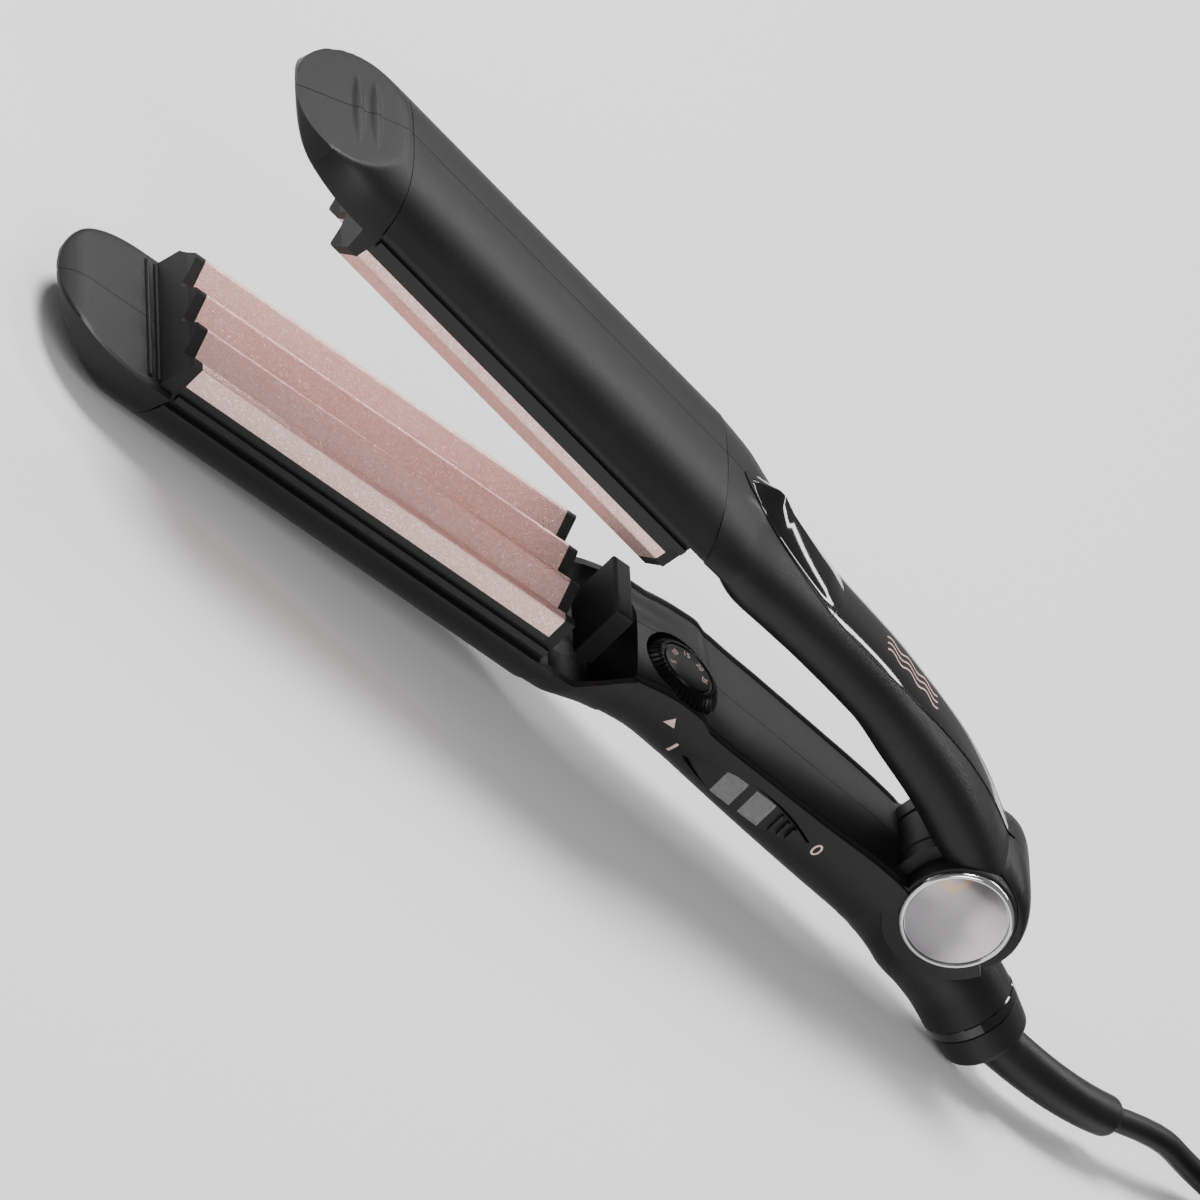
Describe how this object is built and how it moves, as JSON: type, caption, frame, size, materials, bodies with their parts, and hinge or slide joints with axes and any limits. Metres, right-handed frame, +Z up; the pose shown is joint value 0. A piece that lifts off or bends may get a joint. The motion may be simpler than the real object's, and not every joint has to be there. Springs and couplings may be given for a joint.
{
  "type": "hair crimper",
  "caption": "Handheld hair crimper: two hinged arms with wave plates, sprung open, with a heat dial, rocker switch, swivel lead, coiled cord and plug.",
  "frame": {"origin": "bottom centre of the crimper's box, cord left out, standing on the lower arm's heel and the tail collar", "axes": "+X from the tips to the tail and cord, +Y to the right-hand side away from the rocker switch, +Z up"},
  "size_m": [0.5812, 0.073, 0.0998],
  "materials": {
    "housing": "soft-touch matt black",
    "plate_coating": "rose-gold sparkle coating on aluminium",
    "comb_plastic": "rough black",
    "carrier_plastic": "satin black",
    "spring_steel": "bright steel",
    "ceramic": "off-white ceramic",
    "gloss_black": "piano black",
    "clear_window": "clear",
    "board": "green board",
    "bezel_chrome": "bright chrome",
    "lens_silver": "domed silver",
    "guard_rubber": "satin black",
    "cord_rubber": "satin black",
    "tie_strap": "matt black strap",
    "pin_metal": "nickel"
  },
  "bodies": {
    "root": {"alignment_block": "comb_plastic", "coil_tie": "tie_strap", "control_board": "board", "cord": "cord_rubber", "cord_coil": "cord_rubber", "cord_tail": "cord_rubber", "dial_potentiometer": "carrier_plastic", "hinge_pin": "spring_steel", "hinge_spring": "spring_steel", "indicator_lamps": "clear_window", "left_hinge_bezel": "bezel_chrome", "left_hinge_lens": "lens_silver", "lower_barrel_left": "housing", "lower_barrel_right": "housing", "lower_case_screws": "spring_steel", "lower_crimp_plate": "plate_coating", "lower_handle_left": "housing", "lower_handle_right": "housing", "lower_heater": "ceramic", "lower_heater_clip": "spring_steel", "lower_plate_carrier": "carrier_plastic", "lower_rear_comb": "comb_plastic", "lower_thermal_fuse": "spring_steel", "lower_tip_cap_left": "housing", "lower_tip_cap_right": "housing", "lower_tip_comb": "comb_plastic", "plug_body": "cord_rubber", "plug_pins": "pin_metal", "right_hinge_bezel": "bezel_chrome", "right_hinge_lens": "lens_silver", "switch_body": "carrier_plastic", "swivel_collar": "housing", "tail_ring": "gloss_black"},
    "upper_arm": {"upper_barrel_left": "housing", "upper_barrel_right": "housing", "upper_case_screws": "spring_steel", "upper_crimp_plate": "plate_coating", "upper_handle_left": "housing", "upper_handle_right": "housing", "upper_heater": "ceramic", "upper_heater_clip": "spring_steel", "upper_plate_carrier": "carrier_plastic", "upper_rear_comb": "comb_plastic", "upper_thermal_fuse": "spring_steel", "upper_tip_cap_left": "housing", "upper_tip_cap_right": "housing", "upper_tip_comb": "comb_plastic", "handle_insert": "gloss_black", "thumb_rest": "gloss_black"},
    "dial": {"heat_dial": "gloss_black"},
    "rocker": {"switch_rocker": "housing", "switch_windows": "clear_window"},
    "swivel": {"swivel_ball": "guard_rubber", "cord_guard": "guard_rubber"}
  },
  "joints": [
    {"name": "arm_hinge", "type": "hinge", "parent": "root", "child": "upper_arm", "pos_m": [0.10018, 0, 0.03828], "axis": [0, 1, 0], "range_deg": [-10.6, 0], "stiffness_Nm_per_rad": 1, "springref_deg": 28.65},
    {"name": "dial_turn", "type": "hinge", "parent": "root", "child": "dial", "pos_m": [0.00385, -0.0085, 0.03768], "axis": [-0.0893, 0, 0.996], "range_deg": [0, 250]},
    {"name": "switch_rock", "type": "hinge", "parent": "root", "child": "rocker", "pos_m": [0.03585, -0.0182, 0.0279], "axis": [-0.0893, 0, 0.996], "range_deg": [0, 10]},
    {"name": "cord_swivel", "type": "hinge", "parent": "root", "child": "swivel", "pos_m": [0.13839, 0, 0.01107], "axis": [0.9999, 0, -0.0153], "continuous": true}
  ]
}
